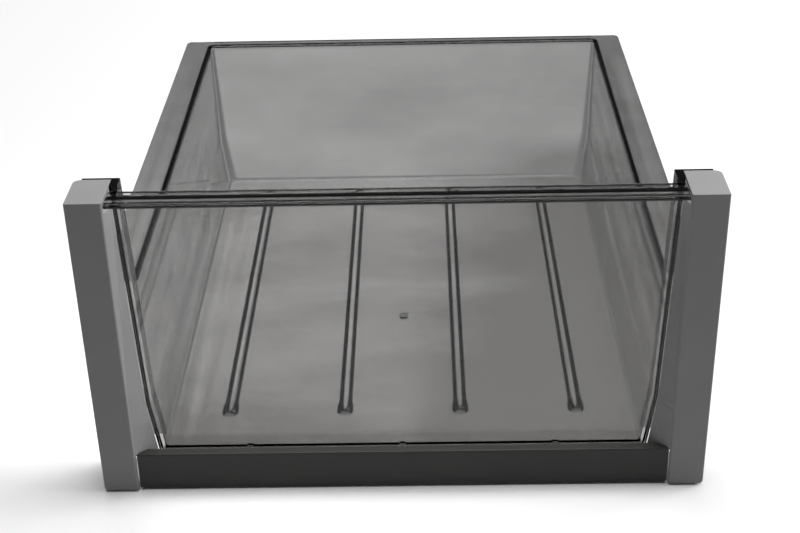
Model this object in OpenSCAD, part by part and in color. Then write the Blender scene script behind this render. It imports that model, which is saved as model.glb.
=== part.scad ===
// Freezer drawer: a smoked clear tub closed by a clear front panel, held by two grey end caps, with a
// dark trim along the foot. Depths are counted from the front of the caps, heights from their feet.

/* [Overall] */
// Width across the end caps
drawer_w = 400; // [360:1:460]
// Depth from the front of the caps to the back edge of the rim
drawer_d = 457; // [340:1:520]
// Height of the end caps
front_h = 215; // [195:1:260]

/* [Tub] */
// Height of the rim's top face
rim_z = 145; // [120:1:160]
// Thickness of the rim's flange
rim_t = 2.8; // [2:0.1:4]
// Flange beyond each side wall
side_flange = 20.1; // [14:0.1:22]
// Flange beyond the back wall
back_flange = 8.8; // [6:0.1:20]
// Corner radius of the flange
flange_r = 5; // [2:0.5:6]
// Radius of the bend from the inside of the walls to the flange
rim_r = 4.4; // [3.5:0.1:5]
// Thickness of the tub's walls and floor
tub_wall = 2.7; // [2:0.1:3.4]
// Space between a cap's inner face and the tub's wall at the rim
side_gap = 5.4; // [5:0.1:9]
// Front edge of the tub, behind the front of the caps
tub_front = 24; // [22:0.5:26]
// Height of the floor's top face
floor_z = 20; // [18:0.5:26]
// Height of the kink in the side walls
kink_z = 60; // [45:1:90]
// Inward lean of the side walls from the rim to the kink
kink_lean = 3.3; // [1:0.1:4]
// Inward lean of the side walls from the rim to the floor
floor_lean = 9.2; // [6:0.1:14]
// Inward lean of the back wall from the rim to the floor
back_lean = 14; // [4:0.5:20]
// Inside radius of the back corners at the rim
corner_r_rim = 3; // [2:0.5:8]
// Inside radius of the back corners at the floor
corner_r_floor = 9; // [8:0.5:20]
// Inside radius between the floor and the walls
floor_r = 2.5; // [2:0.5:6]

/* [Ears of the tub] */
// Thickness of the ears that close the caps at the back
ear_t = 2; // [1.8:0.1:3]
// Outer edge of an ear, inside the cap's outer face
ear_edge = 4.5; // [4:0.1:8]
// Foot of the ears above the feet of the caps
ear_foot = 3; // [1:0.5:8]
// Middle of the blades that carry an end cap, inside the cap's outer face
blade_in = 10.5; // [9.5:0.1:12]
// Width of a blade
blade_w = 8; // [6:0.1:9]
// Thickness of a blade
blade_t = 3; // [2:0.1:5]
// Length of a blade
blade_l = 16; // [10:0.5:22]
// Blades from the top and the foot of the ears
blade_end = 42; // [30:1:60]
// Height of the solid shoulder between a wall's top and the cap
shoulder_h = 12; // [8:0.5:20]
// Number of pegs on the front edge of the floor
peg_count = 3; // [1:1:3]
// Distance between pegs
peg_pitch = 103; // [60:1:120]
// Width of a peg
peg_w = 4; // [2:0.1:6]
// Length of a peg
peg_l = 5.5; // [4:0.1:7]
// Height of a peg
peg_h = 5; // [3:0.1:6]

/* [Floor beads] */
// Number of beads
bead_count = 4; // [2:1:4]
// Distance between beads
bead_pitch = 80.4; // [40:0.1:84]
// Width of a bead
bead_w = 9.4; // [8.4:0.1:11]
// Height of a bead above the floor
bead_h = 4.2; // [3.6:0.1:4.2]
// Wall of a hollow bead
bead_wall = 2.4; // [1.8:0.1:2.8]
// Space from the tub's front edge to a bead
bead_front_gap = 32; // [20:1:60]
// Space from a bead to the back wall
bead_back_gap = 31; // [20:1:60]
// Length of the wider toe at a bead's front end
toe_l = 18; // [14:1:30]
// Width of the toe
toe_w = 11.4; // [11.2:0.1:13]
// Height of the toe above the floor
toe_h = 4.4; // [4.3:0.1:5.4]
// Diameter of the moulding gate's mark under the floor
gate_d = 6.5; // [4:0.5:9]
// Thickness of the gate mark
gate_t = 1.6; // [0.6:0.1:2]
// Gate mark behind the tub's front edge
gate_back = 167; // [80:1:200]

/* [Front panel] */
// Thickness of the window
window_t = 2.8; // [2:0.1:3.4]
// Front face of the window, behind the front of the caps
window_front = 12.8; // [12:0.1:14]
// Margin of the window outside the tub's outline, behind the caps' flanks
window_lap = 3.4; // [3:0.1:4]
// Thickness of the ledge and skirt under the window
ledge_t = 2.4; // [2:0.1:3]
// Top of the ledge below the top of the tub's floor
ledge_drop = 1.2; // [0.5:0.1:2]
// Foot of the skirt above the feet of the caps
skirt_foot = 1.5; // [0.5:0.5:4]

/* [Grip lip] */
// Front of the lip, behind the front of the caps
lip_inset = 1.6; // [0.5:0.1:4]
// Back edge of the lip, behind the front of the caps
lip_back = 22.4; // [20:0.1:23]
// Depth of the thick bead along the lip's front
lip_bead_d = 8; // [6:0.1:10]
// Thickness of that bead
lip_bead_t = 3.4; // [2.6:0.1:4]
// Thickness of the plate behind the bead
lip_plate_t = 2.3; // [2:0.1:3]
// Step from the bead's top down to the plate
lip_step = 0.8; // [0.4:0.1:1.6]
// Fillets where the window meets the lip
lip_r = 2.6; // [0.6:0.1:3]
// Top of the lip below the top of the caps
lip_drop = 1.7; // [0.2:0.1:4]

/* [End caps] */
// Width of an end cap
cap_w = 23.2; // [21:0.1:30]
// Depth of an end cap
cap_d = 33.2; // [32:0.1:40]
// Wall of an end cap
cap_wall = 2.2; // [1.8:0.1:3]
// Radius of an end cap's upright edges
cap_edge_r = 1; // [0.5:0.1:2]
// Radius of the edge between its front and its slanted flank
flank_r = 1.5; // [0.8:0.1:2]
// Reach of the soft bend in the flank, above and below the tub's kink
flank_bend = 12; // [6:1:18]
// Radius of its outer back edge
cap_back_r = 5; // [3.5:0.5:6]
// Radius of its foot, seen from the front
cap_foot_r = 3; // [1:0.5:5]
// Number of webs inside an end cap
web_count = 3; // [1:2:3]
// Width of a web
web_w = 12; // [8:0.5:14]
// Thickness of a web
web_t = 1.6; // [1.2:0.1:1.8]

/* [Bottom trim] */
// Height of the trim
trim_h = 27.5; // [24:0.5:34]
// Front of the trim, behind the front of the caps
trim_inset = 2; // [0.5:0.1:3]
// Depth of the trim
trim_d = 6.4; // [5:0.1:8]
// Wall of the trim
trim_wall = 2; // [1.6:0.1:2.6]
// Radius of the trim's long front edges
trim_edge_r = 1; // [0.5:0.1:1.5]
// Space between the trim's front ends and the caps
trim_gap = 0.8; // [0.3:0.1:2]
// Inward slant of the trim's ends from front to back
trim_slant = 2; // [0:0.1:4]
// Number of snap prongs
prong_count = 4; // [2:1:4]
// Distance between prongs
prong_pitch = 92; // [40:1:100]
// Width of a prong
prong_w = 12; // [8:0.5:20]
// Thickness of a prong
prong_t = 2; // [1.5:0.1:2.6]
// Reach of a prong's nose behind the skirt
prong_nose = 2.4; // [1.5:0.1:4]
// Height of the prongs above the feet of the caps
prong_z = 9; // [6:0.5:10]

/* [Fits] */
// Clearance between pieces that are put together
fit = 0.25; // [0.1:0.05:0.4]

/* [Hidden] */
$fn = 64;

// How far a cutting shape passes the face that it cuts
over = 1;
// Turn between the facets of the tub's round edges
corner_step = 11.25;

smoke = [0.30, 0.31, 0.32, 0.45];
silver_grey = [0.55, 0.55, 0.56];
dark_grey = [0.19, 0.19, 0.19];

// Half widths
half_w = drawer_w / 2;
cap_in = half_w - cap_w;
rim_half = cap_in - side_gap;

// Depths behind the front of the caps
window_back = window_front + window_t;
panel_back = tub_front - fit;
flank_back = window_front - fit;
ear_front = cap_d + fit;
ear_back = ear_front + ear_t;
back_rim = drawer_d - back_flange;
trim_back = trim_inset + trim_d;
skirt_front = trim_back + fit;
skirt_back = skirt_front + ledge_t;

// Heights
floor_under = floor_z - tub_wall;
ledge_z = floor_z - ledge_drop;
lip_top = front_h - lip_drop;
plate_top = lip_top - lip_step;
plate_under = plate_top - lip_plate_t;
flank_top = plate_under - lip_r - fit;
flank_low = ledge_z + fit;
peg_z = (ledge_z + floor_z) / 2 - peg_h;

// Slopes of the side walls above and below the kink; the wings at the front follow the upper one
upper_slope = kink_lean / (rim_z - kink_z);
lower_slope = (floor_lean - kink_lean) / (kink_z - floor_under);

// Half width of the tub outside at a height
function wall_x(z) =
    z >= kink_z ? rim_half - upper_slope * (rim_z - z)
                : rim_half - kink_lean - lower_slope * (kink_z - z);

// Half width at the back edge of a cap's flank at a height: the tub's own, with a soft kink
function flank_x(z) =
    let (t = z - kink_z)
    abs(t) >= flank_bend
        ? wall_x(z)
        : wall_x(kink_z) + (upper_slope + lower_slope) * t / 2
          + (upper_slope - lower_slope) * (t * t + flank_bend * flank_bend) / (4 * flank_bend);

// Outside of the back wall at a height
function wall_y(z) = back_rim - back_lean * (rim_z - z) / (rim_z - floor_under);

// Inside radius of the back corners at a height
function corner_r(z) =
    corner_r_rim + (corner_r_floor - corner_r_rim) * (rim_z - z) / (rim_z - floor_under);

// Ends of the beads
bead_front = tub_front + bead_front_gap;
bead_back = wall_y(floor_z) - tub_wall - bead_back_gap;

// Radius of a round top with a given chord and height
function chord_r(w, h) = (w * w / 4 + h * h) / (2 * h);

// Places n copies in a row across the drawer
module row(n, pitch)
    for (i = [0 : n - 1])
        translate([(i - (n - 1) / 2) * pitch, 0, 0])
            children();

// Moves depths counted from the front of the caps to the drawer's own frame
module from_front()
    translate([0, -drawer_d / 2, 0])
        children();

// Turns an outline drawn in X and Z into a slab from depth y0 to depth y1
module slab_y(y0, y1)
    translate([0, y1, 0])
        rotate([90, 0, 0])
            linear_extrude(y1 - y0)
                children();

// Turns an outline drawn in Y and Z into a bar of a given half length along X
module bar_x(half)
    rotate([90, 0, 90])
        translate([0, 0, -half])
            linear_extrude(2 * half)
                children();

// What a round corner takes off a square one at the origin
module corner_cut(r)
    difference() {
        translate([-over, -over])
            square(r + over);
        translate([r, r])
            circle(r);
    }

// Rectangle with its own radius at each corner: low left, low right, high right, high left
module round_rect(x0, x1, y0, y1, radii) {
    at = [[x0, y0], [x1, y0], [x1, y1], [x0, y1]];
    difference() {
        translate([x0, y0])
            square([x1 - x0, y1 - y0]);
        for (i = [0 : 3])
            if (radii[i] > 0)
                translate(at[i])
                    rotate(90 * i)
                        corner_cut(radii[i]);
    }
}

// Outline of the tub's outside in X and Z, carried up to a height and grown by a gap
module tub_outline(top, gap) {
    right = [[wall_x(floor_under) + gap, floor_under - gap],
             [wall_x(kink_z) + gap, kink_z],
             [wall_x(top) + gap, top]];
    left = [for (i = [2 : -1 : 0]) [-right[i][0], right[i][1]]];
    polygon(concat(right, left));
}

// Solid through a stack of level rings, which all have the same number of points
module loft(rings) {
    n = len(rings[0]);
    last = (len(rings) - 1) * n;
    polyhedron(
        points = [for (ring = rings) each ring],
        faces = concat(
            [[for (i = [0 : n - 1]) i]],
            [[for (i = [n - 1 : -1 : 0]) last + i]],
            [for (k = [0 : n : last - n], i = [0 : n - 1])
                let (j = (i + 1) % n)
                each [[k + i, k + n + i, k + n + j], [k + i, k + n + j, k + j]]]));
}

// One level of the tub's form, inset from the outside, with round back corners
function tub_ring(z, inset, r) =
    let (x = wall_x(z) - inset - r, y = wall_y(z) - inset - r)
    concat([[x + r, tub_front - over, z]],
           [for (a = [0 : corner_step : 90]) [x + r * cos(a), y + r * sin(a), z]],
           [for (a = [90 : corner_step : 180]) [-x + r * cos(a), y + r * sin(a), z]],
           [[-x - r, tub_front - over, z]]);

// The tub's form, longer than its open front: skin 0 is the outside, skin tub_wall the inside.
// The inside opens at the rim by the radius of the bend
module tub_form(skin, top) {
    base = floor_under + skin;
    edge = floor_r + tub_wall - skin;
    bend = skin > 0 ? rim_r : 0;
    foot = [for (a = [0 : corner_step : 90])
        let (draw_in = edge * (1 - sin(a)), z = base + edge * (1 - cos(a)))
        tub_ring(z, skin + draw_in, corner_r(z) + tub_wall - skin - draw_in)];
    kink = [tub_ring(kink_z, skin, corner_r(kink_z) + tub_wall - skin)];
    rim = [for (a = [0 : corner_step : skin > 0 ? 90 : 0])
        let (open = bend * (1 - cos(a)), z = rim_z - bend * (1 - sin(a)))
        tub_ring(z, skin - open, corner_r(z) + tub_wall - skin + open)];
    cover = skin > 0 ? [tub_ring(top, skin - bend, corner_r(top) + tub_wall - skin + bend)] : [];
    loft(concat(foot, kink, rim, cover));
}

// Solid section of a bead across its length, from the middle of the floor up
module bead_section(w, h) {
    r = chord_r(w, h);
    difference() {
        translate([0, floor_z + h - r])
            circle(r);
        translate([-w, floor_z - tub_wall / 2 - 2 * w])
            square(2 * w);
    }
}

// A bead with round ends
module bead(w, h, y0, y1) {
    end = chord_r(w, h);
    slab_y(y0 + end, y1 - end)
        bead_section(w, h);
    for (y = [y0 + end, y1 - end])
        translate([0, y, 0])
            rotate_extrude()
                intersection() {
                    bead_section(w, h);
                    square([w, 2 * floor_z]);
                }
}

// Groove under a bead that keeps its wall even
module bead_groove(w, h, y0, y1) {
    r = chord_r(w, h);
    axis_z = floor_z + h - r;
    slab_y(y0 + r, y1 - r) {
        translate([0, axis_z])
            circle(r - bead_wall);
        translate([bead_wall - r, floor_under - over])
            square([2 * (r - bead_wall), axis_z - floor_under + over]);
    }
}

// Places the two blades of one ear
module blade_places(side)
    for (z = [blade_end, front_h - blade_end])
        translate([side * (half_w - blade_in), 0, z])
            children();

// Side walls carried up in front to the top of the caps, with a shoulder that fills the space to the cap
module wings()
    slab_y(tub_front, ear_back) {
        difference() {
            tub_outline(front_h, 0);
            tub_outline(front_h + over, -tub_wall);
            translate([-half_w, 0])
                square([drawer_w, kink_z]);
        }
        root = wall_x(front_h - shoulder_h) - tub_wall / 2;
        for (side = [0, 1])
            mirror([side, 0])
                translate([root, front_h - shoulder_h])
                    square([cap_in - fit - root, shoulder_h]);
    }

// Plates that reach out from the walls behind the caps, with the blades for the caps
module ears()
    for (side = [-1, 1]) {
        slab_y(ear_front, ear_back)
            difference() {
                mirror([side < 0 ? 1 : 0, 0])
                    union() {
                        round_rect(cap_in, half_w - ear_edge, ear_foot, front_h,
                                   [0, cap_foot_r, cap_edge_r, 0]);
                        translate([wall_x(floor_under) - tub_wall, floor_z + floor_r])
                            square([cap_in + over - wall_x(floor_under) + tub_wall,
                                    front_h - floor_z - floor_r]);
                    }
                tub_outline(front_h + over, -tub_wall / 2);
            }
        blade_places(side)
            translate([-blade_w / 2, ear_front - blade_l, -blade_t / 2])
                cube([blade_w, blade_l + ear_t / 2, blade_t]);
    }

// Flat flange round the rim, from the ears to the back
module flange()
    translate([0, 0, rim_z - rim_t])
        linear_extrude(rim_t)
            round_rect(-rim_half - side_flange, rim_half + side_flange, ear_front + ear_t / 2, drawer_d,
                       [0, 0, flange_r, flange_r]);

// The tub: floor, walls, flanged rim, wings and ears in one moulding, open at the front
module drawer_tub()
    color(smoke)
        from_front()
            difference() {
                union() {
                    difference() {
                        union() {
                            tub_form(0, rim_z);
                            flange();
                        }
                        tub_form(tub_wall, rim_z + over);
                        translate([-half_w, tub_front - 2 * over, 0])
                            cube([drawer_w, 2 * over, front_h]);
                    }
                    wings();
                    ears();
                    row(bead_count, bead_pitch) {
                        bead(bead_w, bead_h, bead_front, bead_back);
                        bead(toe_w, toe_h, bead_front, bead_front + toe_l);
                    }
                    translate([0, tub_front + gate_back, floor_under - gate_t])
                        cylinder(h = gate_t + tub_wall / 2, d = gate_d);
                    row(peg_count, peg_pitch)
                        translate([-peg_w / 2, tub_front - peg_l, peg_z])
                            cube([peg_w, peg_l + tub_wall, peg_h]);
                }
                row(bead_count, bead_pitch)
                    bead_groove(bead_w, bead_h, bead_front, bead_back);
            }

// Side outline of the grip lip: a plate over the window with a round-edged bead along its front
module lip_section() {
    r = lip_bead_t / 2;
    round_rect(lip_inset, lip_inset + lip_bead_d, lip_top - lip_bead_t, lip_top, [r, r, r, r]);
    round_rect(lip_inset + lip_bead_d / 2, lip_back, plate_under, plate_top,
               [0, lip_plate_t / 2, lip_plate_t / 2, 0]);
    translate([window_front, plate_under])
        rotate(180)
            corner_cut(lip_r);
    translate([window_back, plate_under])
        rotate(-90)
            corner_cut(lip_r);
}

// Collar behind the window that carries the tub's walls and floor on to it, open towards the tub
module collar()
    slab_y(window_front + window_t / 2, panel_back)
        difference() {
            tub_outline(plate_under + lip_plate_t / 2, 0);
            tub_outline(front_h, -tub_wall);
            translate([tub_wall - wall_x(floor_z), ledge_z])
                square([2 * (wall_x(floor_z) - tub_wall), tub_wall]);
        }

// The front: window with its collar, grip lip above, ledge and skirt below
module front_panel()
    color(smoke)
        from_front()
            difference() {
                union() {
                    slab_y(window_front, window_back)
                        tub_outline(plate_under + lip_plate_t / 2, window_lap);
                    collar();
                    bar_x(cap_in - fit)
                        lip_section();
                    bar_x(cap_in - fit) {
                        translate([skirt_front, ledge_z - ledge_t])
                            square([window_back - skirt_front, ledge_t]);
                        translate([skirt_front, skirt_foot])
                            square([ledge_t, ledge_z - skirt_foot]);
                    }
                }
                row(prong_count, prong_pitch)
                    translate([-prong_w / 2 - fit, skirt_front - over, prong_z - prong_t / 2 - fit])
                        cube([prong_w + 2 * fit, ledge_t + 2 * over, prong_t + 2 * fit]);
                row(peg_count, peg_pitch)
                    translate([-peg_w / 2 - fit, tub_front - peg_l - fit, floor_under - over])
                        cube([peg_w + 2 * fit, peg_l + fit, tub_wall + over]);
            }

// Flat webs that stiffen a cap, on its front and outer walls, spaced evenly over its height
module cap_webs()
    for (i = [1 : web_count])
        translate([-half_w + cap_wall / 2, cap_wall / 2, i * front_h / (web_count + 1) - web_t / 2])
            cube([web_w, cap_d / 2, web_t]);

// Box sockets on the front wall that take the blades
module cap_sockets()
    blade_places(-1)
        difference() {
            translate([-blade_w / 2 - fit - web_t, cap_wall / 2, -blade_t / 2 - fit - web_t])
                cube([blade_w + 2 * (fit + web_t), cap_d - 2 * cap_wall, blade_t + 2 * (fit + web_t)]);
            translate([-blade_w / 2 - fit, cap_d - blade_l - cap_wall, -blade_t / 2 - fit])
                cube([blade_w + 2 * fit, cap_d, blade_t + 2 * fit]);
        }

// Slanted flank from a cap's front edge back to the window, bent at the kink, with room for the trim's end
module cap_flank() {
    bends = [for (i = [-2 : 2]) kink_z + i * flank_bend / 2];
    difference() {
        loft([for (z = concat(flank_low, bends, flank_top))
            [[-cap_in, flank_r, z],
             [-flank_x(z), flank_back, z],
             [-flank_x(z) - cap_wall, flank_back, z],
             [-cap_in - cap_wall, flank_r, z]]]);
        translate([-cap_in, -over, 0])
            cube([cap_w, skirt_front + over, trim_h + fit]);
    }
}

// Left end cap: front, flank, outer side, top and foot in one shell. An ear of the tub closes its back
module left_end_cap()
    color(silver_grey)
        from_front() {
            difference() {
                intersection() {
                    linear_extrude(front_h)
                        round_rect(-half_w, -cap_in, 0, cap_d,
                                   [cap_edge_r, flank_r, cap_edge_r / 2, cap_back_r]);
                    slab_y(-over, cap_d + over)
                        round_rect(-half_w, -cap_in, 0, front_h,
                                   [cap_foot_r, cap_edge_r, cap_edge_r / 2, cap_edge_r / 2]);
                }
                translate([0, 0, cap_wall])
                    linear_extrude(front_h - 2 * cap_wall) {
                        round_rect(-half_w + cap_wall, -cap_in + over, cap_wall, cap_d - cap_wall,
                                   [0, 0, 0, cap_back_r - cap_wall]);
                        translate([-half_w + cap_back_r, cap_wall])
                            square([cap_w - cap_back_r + over, cap_d]);
                    }
            }
            cap_webs();
            cap_sockets();
            cap_flank();
        }

// Right end cap, the mirror of the left
module right_end_cap()
    mirror([1, 0, 0])
        left_end_cap();

// Side outline of a prong: a flat arm with a nose that catches behind the skirt
module prong_section(y0) {
    catch_y = skirt_back + fit;
    low = prong_z - prong_t / 2;
    polygon([[y0, low], [catch_y, low], [catch_y, low - fit - prong_t / 4],
             [catch_y + prong_nose, low + prong_t / 2], [catch_y + prong_nose, low + prong_t],
             [y0, low + prong_t]]);
}

// Bottom trim: a shallow tray on edge in front of the skirt, with prongs that snap through it
module bottom_trim() {
    half = cap_in - trim_gap;
    in_half = half - trim_slant - trim_wall;
    color(dark_grey)
        from_front() {
            difference() {
                intersection() {
                    linear_extrude(trim_h)
                        polygon([[-half, trim_inset], [half, trim_inset],
                                 [half - trim_slant, trim_back], [trim_slant - half, trim_back]]);
                    bar_x(half_w)
                        round_rect(trim_inset, trim_back, 0, trim_h, [trim_edge_r, 0, 0, trim_edge_r]);
                }
                translate([-in_half, trim_inset + trim_wall, trim_wall])
                    cube([2 * in_half, trim_d, trim_h - 2 * trim_wall]);
            }
            row(prong_count, prong_pitch)
                bar_x(prong_w / 2)
                    prong_section(trim_inset + trim_wall / 2);
        }
}

drawer_tub();
front_panel();
left_end_cap();
right_end_cap();
bottom_trim();
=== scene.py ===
import bpy, math
from mathutils import Matrix, Vector


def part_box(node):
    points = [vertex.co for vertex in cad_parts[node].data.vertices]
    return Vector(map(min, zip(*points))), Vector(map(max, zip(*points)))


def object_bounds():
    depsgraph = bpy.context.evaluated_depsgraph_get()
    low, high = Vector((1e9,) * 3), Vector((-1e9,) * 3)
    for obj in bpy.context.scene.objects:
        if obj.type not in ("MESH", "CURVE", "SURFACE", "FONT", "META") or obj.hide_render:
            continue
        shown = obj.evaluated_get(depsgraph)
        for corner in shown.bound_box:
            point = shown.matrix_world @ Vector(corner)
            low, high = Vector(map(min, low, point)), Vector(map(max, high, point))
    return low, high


# The freezer drawer as it was packed: tub, front panel, two end caps and the bottom trim.
# Its box is kept here, before anything is dressed.
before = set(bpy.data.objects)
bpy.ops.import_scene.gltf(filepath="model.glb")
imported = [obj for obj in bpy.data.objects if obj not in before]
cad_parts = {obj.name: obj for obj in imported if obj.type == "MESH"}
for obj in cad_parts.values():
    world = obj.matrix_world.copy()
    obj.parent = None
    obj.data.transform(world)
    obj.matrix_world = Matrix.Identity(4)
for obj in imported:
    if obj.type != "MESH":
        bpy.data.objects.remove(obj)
cad_box = [list(corner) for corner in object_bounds()]


# The tub is one moulding of smoked clear polystyrene. The smoke is in the depth of the plastic, so a wall
# seen edge-on goes black while a flat wall stays see-through, and light passes it on its way to the floor.
# Its sheet has the slow waves, grain, rub marks and smears that come with moulding and use. Painted shade is
# mixed into its colour too: darker to the front and right, towards the sides and front corners of the floor,
# and at bends.
tub_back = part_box("drawer_tub")[1].y
streaks_end = tub_back - 0.0365
streaks_whole = tub_back - 0.0585
wall_kink = 0.06
above_floor = 0.024
side_strip = 0.1
side_strip_whole = 0.145
front_shade_start = -0.09
front_shade_whole = -0.17


def add(tree, kind, feeds, gives=0, **settings):
    node = tree.nodes.new("ShaderNode" + kind)
    for name, choice in settings.items():
        setattr(node, name, choice)
    for socket, source in feeds.items():
        if isinstance(source, bpy.types.NodeSocket):
            tree.links.new(source, node.inputs[socket])
        else:
            node.inputs[socket].default_value = source
    return node.outputs[gives]


def fade(tree, value, none, whole, least=0.0, most=1.0):
    feeds = {"Value": value, "From Min": none, "From Max": whole, "To Min": least, "To Max": most}
    return add(tree, "MapRange", feeds)


def mix_colour(tree, share, first, second, way="MIX"):
    return add(tree, "Mix", {"Factor": share, 6: first, 7: second}, 2, data_type="RGBA", blend_type=way)


def calculate(tree, way, *terms):
    return add(tree, "Math", dict(enumerate(terms)), operation=way)


def stretched_noise(tree, place, scale, detail, roughness=0.5):
    spread = add(tree, "Mapping", {"Vector": place, "Scale": scale})
    return add(tree, "TexNoise", {"Vector": spread, "Scale": 1.0, "Detail": detail, "Roughness": roughness})


# Broad smear clouds and streaks that run along the drawer beside its walls, with painted shade: darker to
# the front and right, and on the floor and lower walls of the tub darker towards the sides and front
# corners, most on the right.
def smears_and_painted_shade(tree, place):
    axes = add(tree, "SeparateXYZ", {"Vector": place}).node.outputs
    clouds = stretched_noise(tree, place, scale=(6.0, 17.0, 13.0), detail=5.0, roughness=0.6)
    # Painted shade: darker towards the front and right.
    painted_shade_front_right = add(tree, "VectorMath", {0: place, 1: (1.1, -0.65, 0.0)}, "Value", operation="DOT_PRODUCT")
    off_middle = calculate(tree, "ABSOLUTE", axes["X"])
    # Painted shade on the floor and lower walls: darker towards the sides, most on the right, and towards
    # the front corners.
    painted_shade_sides_right = calculate(tree, "MULTIPLY_ADD", axes["X"], 0.4, off_middle)
    painted_shade_front_corners = fade(tree, axes["Y"], front_shade_start, front_shade_whole, least=2.4, most=6.5)
    painted_floor_shade = fade(tree, axes["Z"], wall_kink, above_floor, most=painted_shade_front_corners)
    clouds_and_slope_shade = calculate(tree, "ADD", painted_shade_front_right, clouds)
    clouds_and_floor_shade = calculate(tree, "MULTIPLY_ADD", painted_shade_sides_right, painted_floor_shade, clouds_and_slope_shade)
    streaks = stretched_noise(tree, place, scale=(75.0, 2.2, 75.0), detail=2.0)
    light_or_dark = calculate(tree, "SUBTRACT", streaks, 0.5)
    near_wall = fade(tree, off_middle, side_strip, side_strip_whole, most=1.5)
    off_back = fade(tree, axes["Y"], streaks_end, streaks_whole)
    streak_share = calculate(tree, "MULTIPLY", near_wall, off_back)
    streaked_and_shaded = calculate(tree, "MULTIPLY_ADD", light_or_dark, streak_share, clouds_and_floor_shade)
    return fade(tree, streaked_and_shaded, 0.08, 0.92)


# Painted shade at bends and rounded edges, where the sheet turns away from the drawer's own axes.
def painted_bend_shade(tree):
    facing = add(tree, "NewGeometry", {}, "Normal")
    axes = add(tree, "SeparateXYZ", {"Vector": facing}).node.outputs
    across, along, upward = (calculate(tree, "ABSOLUTE", axis) for axis in axes)
    level = calculate(tree, "MAXIMUM", across, along)
    square_on = calculate(tree, "MAXIMUM", level, upward)
    return fade(tree, square_on, 0.975, 0.85)


# The surface that all the mouldings share: a bump height, and masks of wear, of smears with painted shade,
# and of painted shade at bends.
def moulded_surface():
    tree = bpy.data.node_groups.new("moulded_surface", "ShaderNodeTree")
    for name, usual in (("Wave", 18.0), ("Grain", 900.0)):
        socket = tree.interface.new_socket(name, in_out="INPUT", socket_type="NodeSocketFloat")
        socket.default_value = usual
    for name in ("Height", "Wear", "Smear_and_shade", "Bend_shade"):
        tree.interface.new_socket(name, in_out="OUTPUT", socket_type="NodeSocketFloat")
    given = tree.nodes.new("NodeGroupInput").outputs
    gives = tree.nodes.new("NodeGroupOutput").inputs
    place = add(tree, "TexCoord", {}, "Object")
    wave = add(tree, "TexNoise", {"Vector": place, "Scale": given["Wave"], "Detail": 1.0})
    grain = add(tree, "TexNoise", {"Vector": place, "Scale": given["Grain"], "Detail": 3.0})
    rubbed = stretched_noise(tree, place, scale=(14.0, 220.0, 60.0), detail=6.0)
    tree.links.new(add(tree, "Mix", {"Factor": 0.08, "A": wave, "B": grain}), gives["Height"])
    tree.links.new(fade(tree, rubbed, 0.52, 0.78), gives["Wear"])
    tree.links.new(smears_and_painted_shade(tree, place), gives["Smear_and_shade"])
    tree.links.new(painted_bend_shade(tree), gives["Bend_shade"])
    return tree


moulding = moulded_surface()


def smoked(name, density, ripple, deepest):
    mat = bpy.data.materials.new(name)
    mat.use_nodes = True
    tree = mat.node_tree
    plastic, out = tree.nodes["Principled BSDF"], tree.nodes["Material Output"]
    plastic.inputs["IOR"].default_value = 1.59
    plastic.inputs["Transmission Weight"].default_value = 1.0
    plastic.inputs["Specular Tint"].default_value = (0.3, 0.3, 0.3, 1)
    skin = add(tree, "Group", {"Wave": 16.0, "Grain": 500.0}, node_tree=moulding).node.outputs
    normal = add(tree, "Bump", {"Strength": ripple, "Distance": 0.002, "Height": skin["Height"]})
    clean_colour = (0.985, 0.98, 0.975, 1)
    smear_and_shade_colour = (deepest, 0.99 * deepest, 0.98 * deepest, 1)
    bend_shade_colour = (0.42, 0.42, 0.42, 1)
    # Smears and painted shade darken the tint.
    smeared_and_shaded = mix_colour(tree, skin["Smear_and_shade"], clean_colour, smear_and_shade_colour)
    # Painted shade at bends: the tint is darkened where the sheet turns.
    tree.links.new(mix_colour(tree, skin["Bend_shade"], smeared_and_shaded, bend_shade_colour), plastic.inputs["Base Color"])
    tree.links.new(fade(tree, skin["Wear"], 0.0, 1.0, least=0.015, most=0.025), plastic.inputs["Roughness"])
    tree.links.new(normal, plastic.inputs["Normal"])
    to_lamp = add(tree, "LightPath", {}, "Is Shadow Ray")
    clear = add(tree, "BsdfTransparent", {"Color": (0.985, 0.985, 0.985, 1)})
    smoke = add(tree, "VolumeAbsorption", {"Color": (0.0, 0.0, 0.0, 1), "Density": density})
    surface = add(tree, "MixShader", {"Fac": to_lamp, 1: plastic.outputs["BSDF"], 2: clear})
    inside = add(tree, "MixShader", {"Fac": to_lamp, 1: smoke})
    tree.links.new(surface, out.inputs["Surface"])
    tree.links.new(inside, out.inputs["Volume"])
    return mat


def dress(node, mat):
    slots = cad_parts[node].data.materials
    slots.clear()
    slots.append(mat)


dress("drawer_tub", smoked("smoked_tub", density=380.0, ripple=0.05, deepest=0.5))


# The front panel is a clearer moulding, a window under a grip lip, that meets the open end of the tub.
# Painted shade on the lip, which is looked into end-on: a black band over the window's sheet under it, and
# dark lines at its back edge, the step behind its bead and the bead's lower half. The ledge at its foot is
# painted darker.
front_low, front_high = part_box("front_panel")
lip_front = front_low.y
lip_top = front_high.z
ledge_shade_top = 0.021
ledge_shade_fade = 0.0022


def painted_dark_line(front, back, edge, before, dark, after):
    return ((front - edge, before), (front, dark), (back, dark), (back + edge, after))


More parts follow.
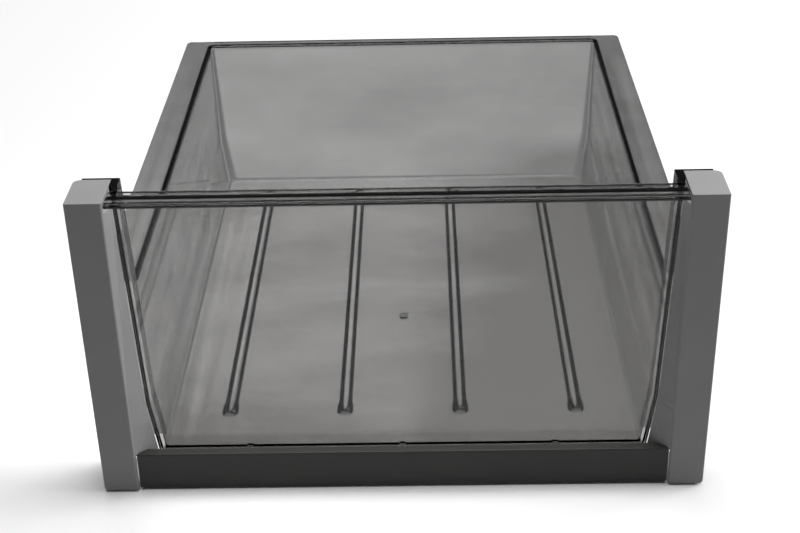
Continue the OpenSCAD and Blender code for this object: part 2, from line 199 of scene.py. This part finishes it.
# Painted shade: the dark lines and black band across the lip, and the darker ledge.
bead_step_shade = painted_dark_line(lip_front + 0.00187, lip_front + 0.00333, 0.00062, before=0.6, dark=0.02, after=0.6)
sheet_end_shade = painted_dark_line(lip_front + 0.00915, lip_front + 0.0131, 0.00062, before=0.55, dark=0.001, after=0.55)
back_edge_shade = painted_dark_line(lip_front + 0.01726, lip_front + 0.01872, 0.00042, before=0.7, dark=0.015, after=0.8)
bead_half_shade = ((lip_top - 0.0033, 0.003), (lip_top - 0.00158, 0.003), (lip_top - 0.00112, 0.6))
ledge_shade = ((ledge_shade_top, 0.12), (ledge_shade_top + ledge_shade_fade, 1.0))


def painted_shade_lines(tree, shade, along, stops, share):
    start, end = stops[0][0], stops[-1][0]
    ramp = add(tree, "ValToRGB", {"Fac": fade(tree, along, start, end)}).node
    points = ramp.color_ramp.elements
    while len(points) < len(stops):
        points.new(0.5)
    for point, (at, clearness) in zip(points, stops):
        point.position = (at - start) / (end - start)
        point.color = (clearness, clearness, clearness, 1)
    return mix_colour(tree, share, shade, ramp.outputs["Color"], "MULTIPLY")


# Multiplies the front's tint by the painted dark lines on the lip and the painted shade on the ledge.
def paint_lip_and_ledge_shade(tree):
    base = tree.nodes["Principled BSDF"].inputs["Base Color"]
    place = add(tree, "TexCoord", {}, "Object")
    axes = add(tree, "SeparateXYZ", {"Vector": place}).node.outputs
    on_top = fade(tree, axes["Z"], lip_top - 0.0022, lip_top - 0.0019)
    on_bead = fade(tree, axes["Y"], lip_front + 0.0015, lip_front + 0.0012)
    shade = base.links[0].from_socket
    shade = painted_shade_lines(tree, shade, axes["Y"], bead_step_shade + sheet_end_shade + back_edge_shade, on_top)
    shade = painted_shade_lines(tree, shade, axes["Z"], bead_half_shade, on_bead)
    shade = painted_shade_lines(tree, shade, axes["Z"], ledge_shade, 1.0)
    tree.links.new(shade, base)


clear_front = smoked("smoked_front", density=45.0, ripple=0.004, deepest=0.92)
paint_lip_and_ledge_shade(clear_front.node_tree)
dress("front_panel", clear_front)


# The end caps are silver grey shells, pushed onto blades at the front of the tub. They are moulded with a
# satin, spark-eroded grain that breaks up the light, and have a slight cloudiness in the colour.
def satin(name, dark, light, rough):
    mat = bpy.data.materials.new(name)
    mat.use_nodes = True
    tree = mat.node_tree
    plastic = tree.nodes["Principled BSDF"]
    plastic.inputs["Specular IOR Level"].default_value = 0.35
    rubbed_rough = rough - 0.08
    skin = add(tree, "Group", {"Wave": 30.0, "Grain": 2200.0}, node_tree=moulding).node.outputs
    normal = add(tree, "Bump", {"Strength": 0.12, "Distance": 0.0006, "Height": skin["Height"]})
    shade = mix_colour(tree, skin["Height"], (*dark, 1), (*light, 1))
    gloss = fade(tree, skin["Wear"], 0.0, 1.0, least=rough, most=rubbed_rough)
    tree.links.new(shade, plastic.inputs["Base Color"])
    tree.links.new(gloss, plastic.inputs["Roughness"])
    tree.links.new(normal, plastic.inputs["Normal"])
    return mat


silver_grey = satin("satin_silver_grey", dark=(0.27, 0.27, 0.275), light=(0.31, 0.31, 0.315), rough=0.46)
for cap in ("left_end_cap", "right_end_cap"):
    dress(cap, silver_grey)


# The bottom trim is a dark grey bar between the caps, moulded with the same satin grain.
# Its prongs go through slots in the skirt of the front panel.
dark_grey = satin("satin_dark_grey", dark=(0.020, 0.020, 0.019), light=(0.028, 0.028, 0.026), rough=0.5)
dress("bottom_trim", dark_grey)


# A plain pale floor. The drawer stands on the feet of its caps and on the back edge of its tub,
# so the floor slopes with it by a couple of degrees. It throws back less light than it shows.
floor_slope = math.tan(math.radians(2.50))
floor_reach = 9.0
caps_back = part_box("left_end_cap")[1].y
sides = ((-1, -1), (1, -1), (1, 1), (-1, 1))
corners = [(x * floor_reach, y * floor_reach, (y * floor_reach - caps_back) * floor_slope) for x, y in sides]
floor_mesh = bpy.data.meshes.new("floor")
floor_mesh.from_pydata(corners, [], [(0, 1, 2, 3)])
floor = bpy.data.objects.new("floor", floor_mesh)
bpy.context.collection.objects.link(floor)
pale = bpy.data.materials.new("pale_floor")
pale.use_nodes = True
paint = pale.node_tree.nodes["Principled BSDF"]
paint.inputs["Roughness"].default_value = 0.9
bounced = add(pale.node_tree, "LightPath", {}, "Is Diffuse Ray")
tone = fade(pale.node_tree, bounced, 0.0, 1.0, least=0.86, most=0.40)
pale.node_tree.links.new(tone, paint.inputs["Base Color"])
floor_mesh.materials.append(pale)


# Soft studio light: a wide panel overhead and one from the right, in a dim room.
# The room stays dark so that the edges of the clear plastic go black.
def panel(name, place, aim, size, power):
    data = bpy.data.lights.new(name, "AREA")
    data.shape = "SQUARE"
    data.size = size
    data.energy = power
    lamp = bpy.data.objects.new(name, data)
    lamp.location = place
    lamp.rotation_euler = (Vector(aim) - Vector(place)).to_track_quat("-Z", "Y").to_euler()
    bpy.context.collection.objects.link(lamp)


panel("overhead", place=(0.1, 0.3, 3.4), aim=(0.0, 0.0, 0.0), size=2.4, power=100.0)
panel("right_side", place=(2.4, 0.3, 1.9), aim=(0.0, 0.1, 0.1), size=1.8, power=72.0)
room = bpy.data.worlds.new("room")
bpy.context.scene.world = room
room.use_nodes = True
room.node_tree.nodes["Background"].inputs["Color"].default_value = (1, 1, 1, 1)
room.node_tree.nodes["Background"].inputs["Strength"].default_value = 0.08
bpy.context.scene.view_settings.view_transform = "Standard"


# The camera stands in front of the drawer, a little to the right of its middle, and looks down into it.
# It is turned a little to the left and rolled by about a degree, as the level lines of the picture are.
pitch = math.radians(29.35)
yaw = math.radians(-1.02)
roll = math.radians(-1.33)
camera_right = 0.01547
camera_ahead = 0.78444
camera_height = 0.61019
ahead = Vector((math.sin(yaw) * math.cos(pitch), math.cos(yaw) * math.cos(pitch), -math.sin(pitch)))
level_right = Vector((math.cos(yaw), -math.sin(yaw), 0))
level_up = level_right.cross(ahead)
right = level_right * math.cos(roll) + level_up * math.sin(roll)
up = level_up * math.cos(roll) - level_right * math.sin(roll)
stand = Matrix((right, up, -ahead)).transposed().to_4x4()
stand.translation = Vector((camera_right, cad_box[0][1] - camera_ahead, camera_height))
lens = bpy.data.cameras.new("camera")
lens.sensor_width = 36.0
lens.lens = 66.13
lens.clip_start = 0.01
lens.clip_end = 50
camera = bpy.data.objects.new("camera", lens)
camera.matrix_world = stand
bpy.context.collection.objects.link(camera)
bpy.context.scene.camera = camera
